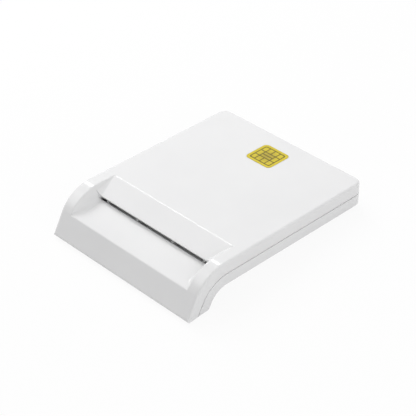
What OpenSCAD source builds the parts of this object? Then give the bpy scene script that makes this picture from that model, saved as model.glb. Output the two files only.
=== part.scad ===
// Smart card reader: a flat slab on a raised front hook, with a finger recess that leads
// the card into its slot. Two moulded covers close over a circuit board with eight sprung
// contacts, a card switch and a socket in the rear wall.
//
// The solids are worked out in the slab's own frame: X across the slot, Y from the lower
// front edge to the rear wall, Z up from the flat top. stand() then tilts the slab onto
// its feet and puts the origin under the middle of the standing object.

/* [Body] */
// Width of the housing across the card slot
body_w = 70; // [66:0.5:90]
// Length of the housing from the lower front edge to the rear wall
body_l = 86.5; // [85:0.5:110]
// Thickness of the flat slab behind the hook
body_t = 9.5; // [9.2:0.1:12]
// Height of the front hook below the flat top
hook_h = 16.45; // [15:0.05:20]
// Slope of the front face from the vertical, in degrees
front_rake = 29; // [24:0.5:34]
// Radius of the bend from the flat top into the front face
bend_r = 15.1; // [12:0.1:15.5]
// Angle of the crease between the bend and the front face
crease_angle = 2.5; // [2:0.25:4]
// Length of the sole under the hook
sole_l = 10.3; // [9.5:0.1:13]
// Radius of the hollow between the hook and the slab's underside
hollow_r = 7.9; // [5:0.1:9]
// Radius of the two rear corners seen from above
corner_r = 3.5; // [3:0.25:7]
// Rounding of the upper outer edges
edge_r = 1; // [0.6:0.1:1.7]
// Rounding of the lower outer edges
under_edge_r = 0.9; // [0.4:0.1:1.5]

/* [Covers] */
// Wall thickness of both covers
wall = 1.8; // [1.6:0.05:2.2]
// Height of the lower cover's side band, measured up from the underside
lower_h = 4.6; // [4:0.1:5.2]
// Play between the two covers where they meet
cover_play = 0.05; // [0.02:0.01:0.1]
// Play round the lower cover's inner rim and beside its inner walls
rim_play = 0.1; // [0.05:0.01:0.2]
// Width of the shadow groove along the seam
groove_w = 0.35; // [0.2:0.05:0.6]
// Depth of the shadow groove along the seam
groove_d = 0.6; // [0.3:0.05:0.8]
// Height of the lower cover's inner rim above the seam
rim_h = 1; // [0.6:0.1:1.4]
// Thickness of the lower cover's inner rim
rim_t = 0.8; // [0.6:0.05:0.9]
// Thickness of a rib inside the covers
rib_t = 1; // [0.8:0.05:1.4]

/* [Card recess] */
// Width of the recess between the upper edges of its side walls
recess_w = 59.6; // [58:0.2:63]
// Distance of the recess's back edge from the lower front edge
recess_back_y = 26.1; // [25:0.1:30]
// Distance of the slot's upper lip from the lower front edge
slot_y = 16.8; // [15.5:0.1:18]
// Depth of the slot's ceiling below the flat top
slot_depth = 3.3; // [3:0.05:3.6]
// Height of the slot's mouth
slot_h = 1.6; // [1.3:0.05:1.9]
// Height of the small upright face over the slot
slot_lip_h = 0.4; // [0.2:0.05:0.8]
// Rounding of the recess's back edge
recess_back_r = 3; // [1:0.1:5]
// Rounding of the lip between the recess floor and the front face
recess_lip_r = 0.9; // [0.4:0.1:1.5]
// Rounding of the recess's side edges
recess_side_r = 0.6; // [0.3:0.05:1]
// Thickness of the recess floor
recess_floor_t = 1.6; // [1.2:0.05:1.9]

/* [Card] */
// Width of the card that the slot guides
card_w = 53.98; // [53.5:0.01:54.5]
// Play beside the card, on each side
card_side_play = 0.36; // [0.2:0.01:0.5]
// Thickness of the card
card_t = 0.76; // [0.68:0.01:0.84]
// Play over the card, under the top cover's ribs
card_top_play = 0.2; // [0.1:0.01:0.3]
// Height of the card rails above the slot's floor
card_lift = 0.3; // [0.2:0.05:0.4]
// Distance of the card's first contact row behind its leading edge
card_row_1 = 11.25; // [11:0.05:11.5]
// Distance between the card's two contact rows
card_row_gap = 7.62; // [7.4:0.02:7.8]
// Distance between neighbouring contacts of a row
card_pitch = 2.54; // [2.4:0.02:2.6]
// Offset of the contacts from the card's centre line
card_contact_offset = 3.1; // [2.8:0.05:3.4]

/* [Feet] */
// Distance of the rear feet before the rear wall's face
rear_foot_inset = 8; // [6.5:0.1:9.5]
// Distance of the rear feet inside the body's sides
rear_foot_side = 8.5; // [7:0.1:9]
// Diameter of a rear foot
rear_foot_d = 8.4; // [6:0.1:9]
// Height of the rear feet below the slab, which sets the slab's tilt
rear_foot_proud = 1.4; // [1.1:0.05:2]
// Depth of a rear foot's seat in the slab
rear_foot_seat = 0.65; // [0.5:0.05:0.8]
// Distance of the front feet's middles inside the body's sides
front_foot_side = 10; // [8:0.5:19]
// Length of a front foot across the body
front_foot_l = 12; // [8:0.5:13]
// Width of a front foot along the body
front_foot_w = 3; // [2:0.1:3.4]
// Height of the front feet below the sole
front_foot_proud = 0.6; // [0.4:0.05:1]
// Depth of a front foot's seat in the sole
front_foot_seat = 0.6; // [0.4:0.05:0.9]
// Play between a foot and the wall of its seat
foot_play = 0.1; // [0.05:0.01:0.2]

/* [Housing screws] */
// Distance of the housing screws from the centre line
screw_x = 30.2; // [30:0.05:31]
// Distance of the front pair from the lower front edge
screw_front_y = 24; // [22:0.1:26]
// Distance of the rear pair before the rear wall's face
screw_rear_inset = 17.5; // [15.5:0.1:22]
// Diameter of a housing screw's shank
screw_d = 1.8; // [1.6:0.05:2]
// Length of a housing screw's shank
screw_l = 5; // [4:0.1:5.4]
// Diameter of a housing screw's head
screw_head_d = 3.2; // [2.8:0.05:3.4]
// Height of a housing screw's head
screw_head_h = 1.1; // [0.8:0.05:1.3]
// Depth of the counterbore that takes a head
screw_sink = 1.7; // [1.5:0.05:2]
// Diameter of the lower cover's screw bosses
screw_boss_d = 5; // [4.8:0.05:5.2]
// Play round a screw's shank in the bore that it cuts into
thread_play = 0.02; // [0.01:0.01:0.05]
// Play round a screw's shank where it only passes through
shank_play = 0.2; // [0.1:0.05:0.3]
// Depth of the cross recess in a screw's head
cross_depth = 0.6; // [0.4:0.05:0.7]
// Width of a slot of the cross recess
cross_w = 0.5; // [0.4:0.05:0.6]

/* [Circuit board] */
// Width of the circuit board
board_w = 46.4; // [46:0.1:47]
// Thickness of the circuit board
board_t = 1; // [0.8:0.1:1.2]
// Length of the board before the contact frame
board_lead = 1.13; // [0.8:0.01:1.5]
// Length of the board behind the contact frame, which carries the larger parts
board_tail = 11.8; // [10.5:0.1:13]
// Gap between the board's rear edge and the rear wall
board_rear_gap = 0.7; // [0.5:0.05:1]
// Height of the standoffs that carry the board
board_standoff = 0.5; // [0.4:0.05:0.8]
// Distance of the board's fasteners inside the board's side edges
board_fix_side = 3.3; // [3.1:0.05:3.5]
// Distance of the board screws behind the board's front edge
board_screw_inset = 5; // [4.5:0.1:6]
// Distance of the locating pins before the board's rear edge
board_pin_inset = 3; // [2.8:0.1:3.6]
// Diameter of a board standoff
board_boss_d = 4.4; // [4:0.1:5]
// Diameter of a locating pin
board_pin_d = 1.9; // [1.6:0.05:2]
// Height of a locating pin above the board
board_pin_proud = 0.6; // [0.3:0.05:0.8]
// Play between the board and a pin or a screw
board_play = 0.15; // [0.1:0.01:0.2]
// Diameter of a board screw's shank
board_screw_d = 1.6; // [1.4:0.05:1.7]
// Length of a board screw's shank
board_screw_l = 2.6; // [2.3:0.05:2.7]
// Diameter of a board screw's head
board_screw_head_d = 3; // [2.6:0.05:3.2]
// Height of a board screw's head
board_screw_head_h = 0.8; // [0.6:0.05:0.9]

/* [Contact frame] */
// Half of the contact frame's width
frame_half_w = 13.2; // [13:0.05:13.6]
// Distance of the frame's front face before the first springs' roots
frame_front = 1.1; // [0.9:0.05:1.3]
// Thickness of the bars that hold the contacts
frame_bar = 0.8; // [0.6:0.05:0.9]
// Drop of the frame's upper face below the card
frame_drop = 0.1; // [0.05:0.01:0.2]
// Play round a contact's tail in its bar
tail_play = 0.03; // [0.02:0.01:0.05]
// Thickness of the end wall that stops the card
stop_t = 1.2; // [1:0.05:1.4]
// Width of each half of the end wall
stop_w = 8; // [6:0.1:8.5]
// Thickness of a contact leaf
leaf_t = 0.2; // [0.16:0.01:0.22]
// Width of a contact leaf
leaf_w = 0.9; // [0.7:0.05:1]
// Distance of a leaf's contact point from its root
leaf_reach = 6.3; // [6:0.05:6.4]
// Rise of the contact point above the card's underside when no card is in
leaf_lift = 0.7; // [0.5:0.05:0.75]
// Depth of the leaf's root below the card's underside
leaf_root_depth = 0.9; // [0.8:0.05:0.95]
// Radius of the contact point's bow
leaf_bow_r = 0.8; // [0.6:0.05:1]
// Radius of the leaf's rolled root
leaf_root_r = 0.16; // [0.14:0.01:0.18]
// Length of the run-out behind the contact point
leaf_tip_l = 0.8; // [0.6:0.05:0.9]
// Fall of the run-out, in degrees
leaf_tip_fall = 35; // [25:1:40]
// Play between a leaf's root and its fixed tail
leaf_gap = 0.1; // [0.08:0.01:0.15]
// Play beside and around a leaf in its pocket
leaf_play = 0.2; // [0.15:0.01:0.25]
// Length of a contact's solder foot
foot_l = 1; // [0.8:0.05:1.2]
// Thickness of a contact's fixed tail
tail_t = 0.15; // [0.12:0.01:0.18]
// Angle by which a leaf can be pressed down, in degrees
press_angle = 7; // [6.5:0.1:7.5]

/* [Card switch] */
// Distance of the card switch from the centre line
switch_x = 9.8; // [9.6:0.05:10]
// Distance of the switch lever's contact point before the card's stop
switch_before_stop = 3; // [2.8:0.05:3.2]
// Width of the switch lever
switch_w = 1.4; // [1.2:0.05:1.6]
// Play between the pressed lever and the fixed blade
switch_gap = 0.1; // [0.05:0.01:0.15]

/* [Rear socket] */
// Outer width of the socket's shell
socket_w = 8.94; // [8.8:0.01:9]
// Outer height of the socket's shell
socket_h = 3.26; // [3.2:0.01:3.3]
// Length of the socket's shell
socket_l = 7.35; // [7:0.05:7.6]
// Sheet thickness of the socket's shell
socket_t = 0.3; // [0.25:0.01:0.32]
// Corner radius of the socket's shell
socket_r = 1.2; // [0.8:0.05:1.5]
// Distance of the socket's mouth inside the rear wall's face
socket_inset = 0.4; // [0.2:0.05:0.6]
// Play round the socket in the covers
socket_play = 0.2; // [0.1:0.01:0.3]
// Width of the socket's tongue
tongue_w = 6.69; // [6.5:0.01:6.8]
// Thickness of the socket's tongue
tongue_t = 0.7; // [0.65:0.01:0.75]
// Length of the socket's tongue
tongue_l = 4.45; // [4:0.05:4.6]
// Distance between neighbouring strips on the tongue
strip_pitch = 0.5; // [0.48:0.01:0.51]
// Number of strips on each face of the tongue
strip_count = 12; // [8:1:12]
// Width of a strip
strip_w = 0.25; // [0.2:0.01:0.3]
// Length of a strip
strip_l = 3.4; // [3:0.05:3.6]
// Thickness of a strip
strip_t = 0.06; // [0.04:0.01:0.08]

/* [Board parts] */
// Length of the control chip's body
chip_l = 10.2; // [10:0.05:10.3]
// Width of the control chip's body
chip_w = 5.3; // [5.2:0.05:5.4]
// Height of the control chip's body
chip_h = 1.6; // [1.4:0.05:1.75]
// Height of the control chip's body above the board
chip_stand = 0.15; // [0.1:0.01:0.2]
// Distance over both rows of the chip's legs
chip_span = 7.8; // [7.6:0.05:8]
// Distance between neighbouring legs
leg_pitch = 0.65; // [0.6:0.01:0.68]
// Number of legs on each side
leg_count = 14; // [10:1:14]
// Width of a leg
leg_w = 0.3; // [0.25:0.01:0.35]
// Thickness of a leg
leg_t = 0.15; // [0.12:0.01:0.18]
// Distance of the chip from the centre line
chip_x = 12.2; // [12:0.05:12.4]
// Distance of the large board parts before the board's rear edge
parts_inset = 5.8; // [5.6:0.05:6]
// Length of the crystal's can
crystal_l = 11.35; // [11:0.05:11.5]
// Width of the crystal's can
crystal_w = 4.65; // [4.5:0.05:4.8]
// Height of the crystal's can
crystal_h = 3.5; // [3:0.05:3.7]
// Thickness of the crystal's base flange
crystal_flange_t = 0.4; // [0.3:0.05:0.5]
// Overhang of the crystal's base flange
crystal_flange = 0.35; // [0.3:0.05:0.4]
// Distance of the crystal from the centre line
crystal_x = 11.6; // [11.4:0.05:11.7]
// Length of a capacitor
capacitor_l = 2; // [1.8:0.05:2.1]
// Width of a capacitor
capacitor_w = 1.25; // [1.1:0.05:1.35]
// Height of a capacitor
capacitor_h = 0.85; // [0.6:0.05:1]
// Distance between neighbouring capacitors
capacitor_pitch = 3.2; // [3:0.1:3.4]
// Number of capacitors
capacitor_count = 4; // [2:1:4]
// Length of a resistor
resistor_l = 1.6; // [1.5:0.05:1.7]
// Width of a resistor
resistor_w = 0.8; // [0.7:0.05:0.9]
// Height of a resistor
resistor_h = 0.45; // [0.35:0.05:0.55]
// Distance between neighbouring resistors
resistor_pitch = 2.6; // [2.2:0.1:2.8]
// Number of resistors
resistor_count = 5; // [2:1:5]
// Distance of the resistors from the centre line
resistor_x = 18.4; // [17:0.1:19.5]
// Length of the voltage regulator
regulator_l = 2.9; // [2.8:0.05:3]
// Width of the voltage regulator
regulator_w = 1.3; // [1.2:0.05:1.6]
// Height of the voltage regulator
regulator_h = 1.1; // [0.9:0.05:1.2]

/* [Contact symbol] */
// Width of the contact symbol on the flat top
symbol_w = 12; // [10:0.1:13]
// Length of the contact symbol
symbol_l = 11.4; // [9.5:0.1:12.5]
// Distance of the symbol's centre before the rear wall's face
symbol_inset = 12.8; // [10:0.1:16]
// Corner radius of the symbol
symbol_r = 1.7; // [1:0.1:2.5]
// Thickness of the symbol's plate
symbol_t = 0.4; // [0.3:0.05:0.6]
// Height of the plate above the flat top
symbol_proud = 0.06; // [0.03:0.01:0.1]
// Play between the plate and its seat
symbol_play = 0.05; // [0.03:0.01:0.1]
// Width of the dark lines between the pads
line_w = 0.42; // [0.3:0.02:0.6]
// Depth of the dark lines
line_depth = 0.15; // [0.1:0.01:0.2]
// Width of the plain border round the lines
border_w = 1.1; // [0.8:0.05:1.4]

/* [Hidden] */
$fn = 64;
// Overrun of every cut past the face that it opens
over = 1;
// A length past every face of the housing
far = body_l + body_w;

// Levels, down from the flat top
seam_z = lower_h - body_t;
slot_floor_z = -slot_depth - slot_h;
card_z = slot_floor_z + card_lift;
card_top_z = card_z + card_t;
top_rib_z = card_top_z + card_top_play;
floor_z = wall - body_t;
board_z = floor_z + board_standoff + board_t;
frame_top_z = card_z - frame_drop;
screw_seat_z = screw_sink - body_t;
// Depth left free past the end of a screw
bore_spare = 0.25;

// Places that keep their distance from a side
rear_foot_x = body_w / 2 - rear_foot_side;
front_foot_x = body_w / 2 - front_foot_side;
board_fix_x = board_w / 2 - board_fix_side;

// Places that keep their distance from the rear wall
rear_foot_y = body_l - rear_foot_inset;
screw_rear_y = body_l - screw_rear_inset;
symbol_y = body_l - symbol_inset;
board_rear_y = body_l - wall - board_rear_gap;
card_stop_y = board_rear_y - board_tail - stop_t;

// Stance: the ground line runs under the front feet and the rear feet
tilt = atan((hook_h + front_foot_proud - body_t - rear_foot_proud) / rear_foot_y);
function sole_z(y) = -hook_h + y * tan(tilt);
function ground_z(y) = -hook_h - front_foot_proud + y * tan(tilt);

// Side view: directions up the front face and out of it
face_up = [sin(front_rake), cos(front_rake)];
face_out = [-cos(front_rake), sin(front_rake)];
sole_in = [-sin(tilt), cos(tilt)];
toe = [0, -hook_h];
brow = [hook_h * tan(front_rake), 0];
crease_out = [-cos(front_rake + crease_angle), sin(front_rake + crease_angle)];
bend_c_y = (bend_r * cos(crease_angle) + (hook_h - bend_r) * sin(front_rake)) / cos(front_rake);
bend_c = [bend_c_y, -bend_r];
crease = bend_c + bend_r * crease_out;
face_l = norm(crease - toe);
heel = [sole_l, sole_z(sole_l)];
under_c_z = -body_t - hollow_r;
// The hollow's middle lies this far behind the back of the hook
hollow_back = hollow_r * cos(crease_angle);
under_c_y = sole_l + (hollow_back + (under_c_z - heel.y) * sin(front_rake)) / cos(front_rake);
under_c = [under_c_y, under_c_z];
hook_back = under_c + hollow_r * crease_out;

// Recess: its side walls lean in by this share of their depth
slot_w = card_w + 2 * card_side_play;
lean_share = (recess_w - slot_w) / 2 / -slot_floor_z;
// The side edges are rounded along this share of the bend, to where the recess runs out
side_edge_share = 0.85;
recess_back = [recess_back_y, 0];
slot_lip = [slot_y, -slot_depth + slot_lip_h];
slot_floor = [slot_y, slot_floor_z];
floor_fall = (slot_floor.y - crease.y) / (slot_floor.x - crease.x);
floor_end_y = slot_y + slot_lip_h;
cavity_front_y = recess_back_y + wall;
rail_start_y = floor_end_y + slot_lip_h;
rail_shares = [0.33, 0.894];
rail_xs = [for (side = [-1, 1], share = rail_shares) side * share * slot_w / 2];
// The walls beside the card end before the rear screw bosses
guide_start_y = cavity_front_y + rim_play;
guide_end_y = screw_rear_y - screw_boss_d / 2 - rim_play;

// Springs: a row beside each window's outer end, pointing at each other
row_rear_y = card_stop_y - card_row_1;
row_front_y = row_rear_y - card_row_gap;
root_z = card_z - leaf_root_depth;
root_front_y = row_front_y - leaf_reach;
root_rear_y = row_rear_y + leaf_reach;
contact_x = [for (i = [-1.5 : 1 : 1.5]) i * card_pitch - card_contact_offset];
bow_c = [leaf_reach, leaf_root_depth + leaf_lift - leaf_bow_r];
leaf_rise = atan2(bow_c.y, bow_c.x) + asin((leaf_bow_r - leaf_t / 2) / norm(bow_c));
leaf_back = -[cos(leaf_rise), sin(leaf_rise)];
leaf_on = [cos(leaf_tip_fall), -sin(leaf_tip_fall)];
fall_out = [sin(leaf_tip_fall), cos(leaf_tip_fall)];
tip_low = bow_c + leaf_tip_l * leaf_on + (leaf_bow_r - leaf_t) * fall_out;
blade_top_z = root_z + tip_low.y * cos(press_angle) - tip_low.x * sin(press_angle) - switch_gap;
switch_root_y = card_stop_y - switch_before_stop - leaf_reach;
frame_front_y = root_front_y - frame_front;
frame_rear_y = card_stop_y + stop_t;
pocket_start = frame_front - frame_bar;
pocket_end = leaf_reach + leaf_bow_r + leaf_tip_l + leaf_play;
foot_drop = board_z - root_z;
pocket_w = leaf_w + 2 * leaf_play;

// Feet: the front ones lie in the middle of the lower cover's part of the sole
front_foot_y = sole_l - lower_h / cos(front_rake) / 2;
// Bevel round the foot's lower edge
foot_bevel = rear_foot_proud / 4;

// Board and socket places
board_front_y = frame_front_y - board_lead;
board_screw_y = board_front_y + board_screw_inset;
board_pin_y = board_rear_y - board_pin_inset;
parts_y = board_rear_y - parts_inset;
small_parts_y = card_stop_y + stop_t + capacitor_l;
resistor_y = board_screw_y + board_screw_head_d / 2 + resistor_w / 2;
socket_mouth_y = body_l - socket_inset;
// Distance of the tongue's tip inside the mouth, and of the strips behind the tip
strip_margin = socket_t;
socket_z = board_z + socket_h / 2;

// Symbol: the long lines lie at this share of the lined part's length
row_share = 0.17;

// Origin: under the middle of the standing object's box
lift = -ground_z(0) * cos(tilt);
front_reach = toe.y * sin(tilt);
rear_reach = body_l * cos(tilt) - edge_r * sin(tilt);
mid_y = (front_reach + rear_reach) / 2;

// Tilts the slab onto its feet and centres it over the origin
module stand() {
    translate([0, -mid_y, lift]) rotate([-tilt, 0, 0]) children();
}

// Turns a piece at a point of the slab so that it stands level on the ground
module level(point) {
    translate(point) rotate([tilt, 0, 0]) children();
}

// Draws a side view, whose axes are Y and Z, as a solid across the body
module across(width) {
    rotate([90, 0, 90]) linear_extrude(width, center = true) children();
}

// Draws a front view, whose axes are X and Z, as a solid from one Y to another
module along(from, to) {
    translate([0, from, 0]) rotate([90, 0, 0]) mirror([0, 0, 1])
        linear_extrude(to - from) children();
}

// Draws a plan, whose axes are X and Y, as a solid from one Z to another
module upright(from, to) {
    translate([0, 0, from]) linear_extrude(to - from) children();
}

// Draws its children on the right and, mirrored, on the left
module both_sides() {
    children();
    mirror([1, 0, 0]) children();
}

// What a rounding takes off a corner whose two edges leave it along u and v
module corner_cut(corner, u, v, r) {
    half = acos(u * v) / 2;
    inward = (u + v) / norm(u + v);
    centre = corner + inward * r / sin(half);
    run = r / tan(half);
    difference() {
        polygon([corner + u * run, centre, corner + v * run, corner - inward * over]);
        translate(centre) circle(r);
    }
}

// What a rounding takes off a square edge, with the solid to its lower left
module edge_cut(r) {
    corner_cut([0, 0], [-1, 0], [0, -1], r);
}

// Sharp corner that a circle would round, whose two edges leave it along u and v
function sharp_corner(centre, u, v, r) = centre - r * (u + v) / abs(cross(u, v));

// What a bend round a centre takes off the slab and the hook, between straight up from
// the centre and straight out of the front face
module bend_cut(centre, r) {
    difference() {
        polygon([centre, centre + [0, far], centre + far * (face_out + [0, 1]),
            centre + far * face_out]);
        translate(centre) circle(r);
    }
}

// Space under the slab and behind the hook, grown into the body by a height
module underside(rise) {
    r = hollow_r + rise;
    run = (hollow_back + rise - r * face_out.y) / face_out.x;
    corner = under_c + [run, r];
    difference() {
        polygon([corner, [far, corner.y], [far, -far], corner - far * face_up]);
        bend_cut(under_c, r);
    }
}

// Corner of a side view moved in from its two edges, whose inward normals are a and b
function inset_corner(corner, a, b, inset) = corner + inset * (a + b) / (1 + a * b);

// Side view of the whole housing, drawn in by an inset
module outline(inset) {
    inner_brow = inset_corner(brow, [0, -1], -face_out, inset);
    difference() {
        polygon([
            inset_corner(toe, sole_in, -face_out, inset), inner_brow, [body_l - inset, -inset],
            [body_l - inset, -hook_h], [under_c.x, -hook_h],
            [under_c.x, sole_z(under_c.x) + inset / cos(tilt)]
        ]);
        bend_cut(bend_c, bend_r - inset);
        underside(inset);
    }
}

// Plan of the housing, drawn in by an inset, with its rear corners rounded
module plan(inset) {
    half = body_w / 2 - inset;
    rear = body_l - inset;
    difference() {
        translate([-half, -far]) square([2 * half, far + rear]);
        for (side = [-1, 1])
            corner_cut([side * half, rear], [-side, 0], [0, -1], corner_r - inset);
    }
}

// Whole housing with sharp edges, drawn in by an inset
module block(inset) {
    intersection() {
        across(far) outline(inset);
        upright(-far, far) plan(inset);
    }
}

// Rounding along one upper side edge: flat top, bend, front face and rear corner
module upper_edge() {
    half = body_w / 2;
    translate([half, 0, 0]) along(bend_c.x, body_l - corner_r) edge_cut(edge_r);
    translate([0, bend_c.x, bend_c.y]) rotate([0, 90, 0]) rotate([0, 0, 180])
        rotate_extrude(angle = 90 - front_rake) translate([bend_r, half]) edge_cut(edge_r);
    translate([half, crease.x, crease.y]) rotate([180 - front_rake, 0, 0])
        translate([0, 0, -over]) linear_extrude(face_l + 2 * over) edge_cut(edge_r);
    translate([half - corner_r, body_l - corner_r, 0])
        rotate_extrude(angle = 90) translate([corner_r, 0]) edge_cut(edge_r);
}

// Rounding along one lower side edge: slab, hollow, back of the hook, sole, rear corner
module lower_edge() {
    half = body_w / 2;
    translate([half, 0, -body_t]) along(under_c.x, body_l - corner_r)
        mirror([0, 1]) edge_cut(under_edge_r);
    translate([0, under_c.x, under_c.y]) rotate([0, 90, 0]) rotate([0, 0, 180])
        rotate_extrude(angle = 90 - front_rake)
            translate([hollow_r, half]) mirror([1, 0]) edge_cut(under_edge_r);
    translate([half, hook_back.x, hook_back.y]) rotate([180 - front_rake, 0, 0])
        translate([0, 0, -over]) linear_extrude(norm(hook_back - heel) + 2 * over)
            mirror([0, 1]) edge_cut(under_edge_r);
    translate([half, heel.x, heel.y]) rotate([90 + tilt, 0, 0])
        linear_extrude(norm(heel - toe) + over) mirror([0, 1]) edge_cut(under_edge_r);
    translate([half - corner_r, body_l - corner_r, -body_t]) rotate_extrude(angle = 90)
        translate([corner_r, 0]) mirror([0, 1]) edge_cut(under_edge_r);
}

// Whole housing with its outer edges rounded
module housing() {
    difference() {
        block(0);
        both_sides() upper_edge();
        both_sides() lower_edge();
        across(body_w - 2 * corner_r) {
            translate([body_l, 0]) edge_cut(edge_r);
            translate([body_l, -body_t]) mirror([0, 1]) edge_cut(under_edge_r);
        }
        across(far) {
            corner_cut(toe, face_up, [cos(tilt), sin(tilt)], under_edge_r);
            corner_cut(heel, [-cos(tilt), -sin(tilt)], face_up, under_edge_r);
        }
    }
}

// Groove that shows as a dark line where the covers meet
module seam_groove() {
    difference() {
        across(far) difference() {
            underside(lower_h + groove_w);
            underside(lower_h);
        }
        block(groove_d);
    }
}

// Side view of the recess, from its back edge over the slot down to the front lip
module recess_outline() {
    slope = (slot_lip - recess_back) / norm(slot_lip - recess_back);
    fall = (slot_floor - crease) / norm(slot_floor - crease);
    bend_down = [-crease_out.y, crease_out.x];
    polygon([
        recess_back, slot_lip, slot_floor, crease, [-far, crease.y], [-far, far],
        [recess_back.x, far]
    ]);
    corner_cut(recess_back, [1, 0], slope, recess_back_r);
    corner_cut(crease, fall, bend_down, recess_lip_r);
}

// Front view of the recess between its leaning side walls
module recess_front() {
    half = recess_w / 2;
    low = half - body_t * lean_share;
    high = half + over * lean_share;
    polygon([[-low, -body_t], [low, -body_t], [high, over], [-high, over]]);
}

// Finger recess: straight leaning walls behind the bend, coned ones along the bend
module recess() {
    intersection() {
        across(recess_w + 2 * over) recess_outline();
        union() {
            along(bend_c.x, recess_back_y + over) recess_front();
            translate([0, bend_c.x, bend_c.y]) rotate([0, 90, 0]) rotate([0, 0, 180])
                rotate_extrude(angle = 90)
                    translate([bend_r, 0]) rotate([0, 0, -90]) recess_front();
        }
    }
    both_sides() recess_side_edge();
}

// Rounding along one upper side edge of the recess
module recess_side_edge() {
    half = recess_w / 2;
    down = [-lean_share, -1] / norm([lean_share, 1]);
    along(bend_c.x, recess_back_y) corner_cut([half, 0], [1, 0], down, recess_side_r);
    translate([0, bend_c.x, bend_c.y]) rotate([0, 90, 0]) rotate([0, 0, 180])
        rotate_extrude(angle = (90 - front_rake) * side_edge_share) translate([bend_r, 0])
            rotate([0, 0, -90]) mirror([1, 0]) corner_cut([half, 0], [1, 0], down, recess_side_r);
}

// Space that the card slides through: the slot's mouth and the way behind its floor
module card_path() {
    translate([-slot_w / 2, slot_y - over, slot_floor_z])
        cube([slot_w, floor_end_y - slot_y + 2 * over, slot_h]);
    translate([-slot_w / 2, floor_end_y, -far])
        cube([slot_w, cavity_front_y - floor_end_y + over, far - slot_depth]);
}

// Side view of what stays solid round the recess: its arms and its floor
module arm_zone() {
    drop = [0, -recess_floor_t];
    polygon([
        [cavity_front_y, far], [cavity_front_y, slot_floor.y + drop.y],
        [floor_end_y, slot_floor.y + drop.y], slot_floor + drop, crease + drop,
        [-far, crease.y + drop.y], [-far, far]
    ]);
}

// Floor of the recess, which reaches under the slot between the lower cover's walls
module recess_floor() {
    start = crease.x + wall / 2;
    start_z = crease.y + floor_fall * wall / 2;
    across(body_w - 2 * wall - 2 * rim_play) polygon([
        [start, start_z], slot_floor, [floor_end_y, slot_floor_z],
        [floor_end_y, slot_floor_z - recess_floor_t], slot_floor - [0, recess_floor_t],
        [start, start_z - recess_floor_t]
    ]);
}

// Block behind the arms, drawn in by an inset, that forms the rim where the covers meet
module rim_block(inset, from, to) {
    difference() {
        upright(from, to) plan(inset);
        translate([-far, -far, from - over])
            cube([2 * far, far + cavity_front_y + rim_play, to - from + 2 * over]);
    }
}

// Opening in the rear wall round the socket
module socket_opening() {
    translate([0, 0, socket_z]) along(body_l - 2 * wall, body_l + over)
        rounded(socket_w + 2 * socket_play, socket_h + 2 * socket_play, socket_r + socket_play);
}

// Rectangle with rounded corners, round its own middle
module rounded(w, h, r) {
    square([w, h - 2 * r], center = true);
    square([w - 2 * r, h], center = true);
    for (x = [-1, 1], y = [-1, 1]) translate([x * (w / 2 - r), y * (h / 2 - r)]) circle(r);
}

// Slot with round ends, round its own middle
module stadium(w, h) {
    square([w - h, h], center = true);
    for (side = [-1, 1]) translate([side * (w - h) / 2, 0]) circle(d = h);
}

// Draws its children at each housing screw
module at_screws() {
    for (x = [-screw_x, screw_x], y = [screw_front_y, screw_rear_y])
        translate([x, y, 0]) children();
}

// Draws its children at each of two places either side of the centre line
module at_pair(x, y) {
    for (side = [-1, 1]) translate([side * x, y, 0]) children();
}

// Upper cover: plate, side walls, recess and front of the hook in one moulding
module top_cover() {
    color("white") stand() difference() {
        union() {
            difference() {
                housing();
                across(far) underside(lower_h + cover_play);
                difference() {
                    block(wall);
                    across(far) arm_zone();
                }
                rim_block(wall - rim_t - rim_play, -far, seam_z + rim_h + rim_play);
            }
            recess_floor();
            at_pair(screw_x, screw_rear_y)
                upright(seam_z + cover_play, -wall / 2) circle(d = screw_boss_d);
            for (x = rail_xs) translate([x, 0, 0])
                along(cavity_front_y - over, card_stop_y - rib_t)
                    translate([-rib_t / 2, top_rib_z]) square([rib_t, -top_rib_z - wall / 2]);
        }
        recess();
        card_path();
        seam_groove();
        socket_opening();
        at_screws() upright(-far, screw_seat_z + screw_l + bore_spare)
            circle(d = screw_d + 2 * thread_play);
        translate([0, symbol_y, 0]) upright(symbol_proud - symbol_t, over)
            rounded(symbol_w + 2 * symbol_play, symbol_l + 2 * symbol_play, symbol_r);
    }
}

// Rail that carries the card, with a lead-in at its front end
module card_rail(from, to) {
    lead = rib_t;
    across(rib_t) polygon([
        [from, -body_t + wall / 2], [from, card_z - lead / 2], [from + lead, card_z],
        [to, card_z], [to, -body_t + wall / 2]
    ]);
}

// Lower cover: floor, side band and back of the hook, with all that carries the inside
module bottom_cover() {
    color("white") stand() difference() {
        union() {
            difference() {
                intersection() {
                    housing();
                    union() {
                        across(far) underside(lower_h);
                        rim_block(wall - rim_t, seam_z - wall, seam_z + rim_h);
                    }
                }
                block(wall);
            }
            at_screws() upright(-body_t + wall / 2, seam_z) circle(d = screw_boss_d);
            for (x = rail_xs) translate([x, 0, 0])
                card_rail(rail_start_y, abs(x) < board_w / 2 ? board_front_y - rib_t : card_stop_y);
            both_sides() translate([slot_w / 2, guide_start_y, -body_t + wall / 2])
                cube([rib_t, guide_end_y - guide_start_y, top_rib_z + body_t - wall / 2]);
            at_pair(board_fix_x, board_screw_y)
                upright(-body_t + wall / 2, board_z - board_t) circle(d = board_boss_d);
            at_pair(board_fix_x, board_pin_y) {
                upright(-body_t + wall / 2, board_z - board_t) circle(d = board_boss_d);
                upright(-body_t + wall / 2, board_z + board_pin_proud) circle(d = board_pin_d);
            }
        }
        socket_opening();
        at_screws() {
            upright(-far, screw_seat_z) circle(d = screw_head_d + 2 * shank_play);
            upright(-far, over) circle(d = screw_d + 2 * shank_play);
        }
        at_pair(board_fix_x, board_screw_y)
            upright(board_z - board_screw_l - bore_spare, over)
                circle(d = board_screw_d + 2 * thread_play);
        at_pair(rear_foot_x, 0) rear_foot_solid(foot_play);
        at_pair(front_foot_x, 0) front_foot_solid(foot_play);
    }
}

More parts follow.
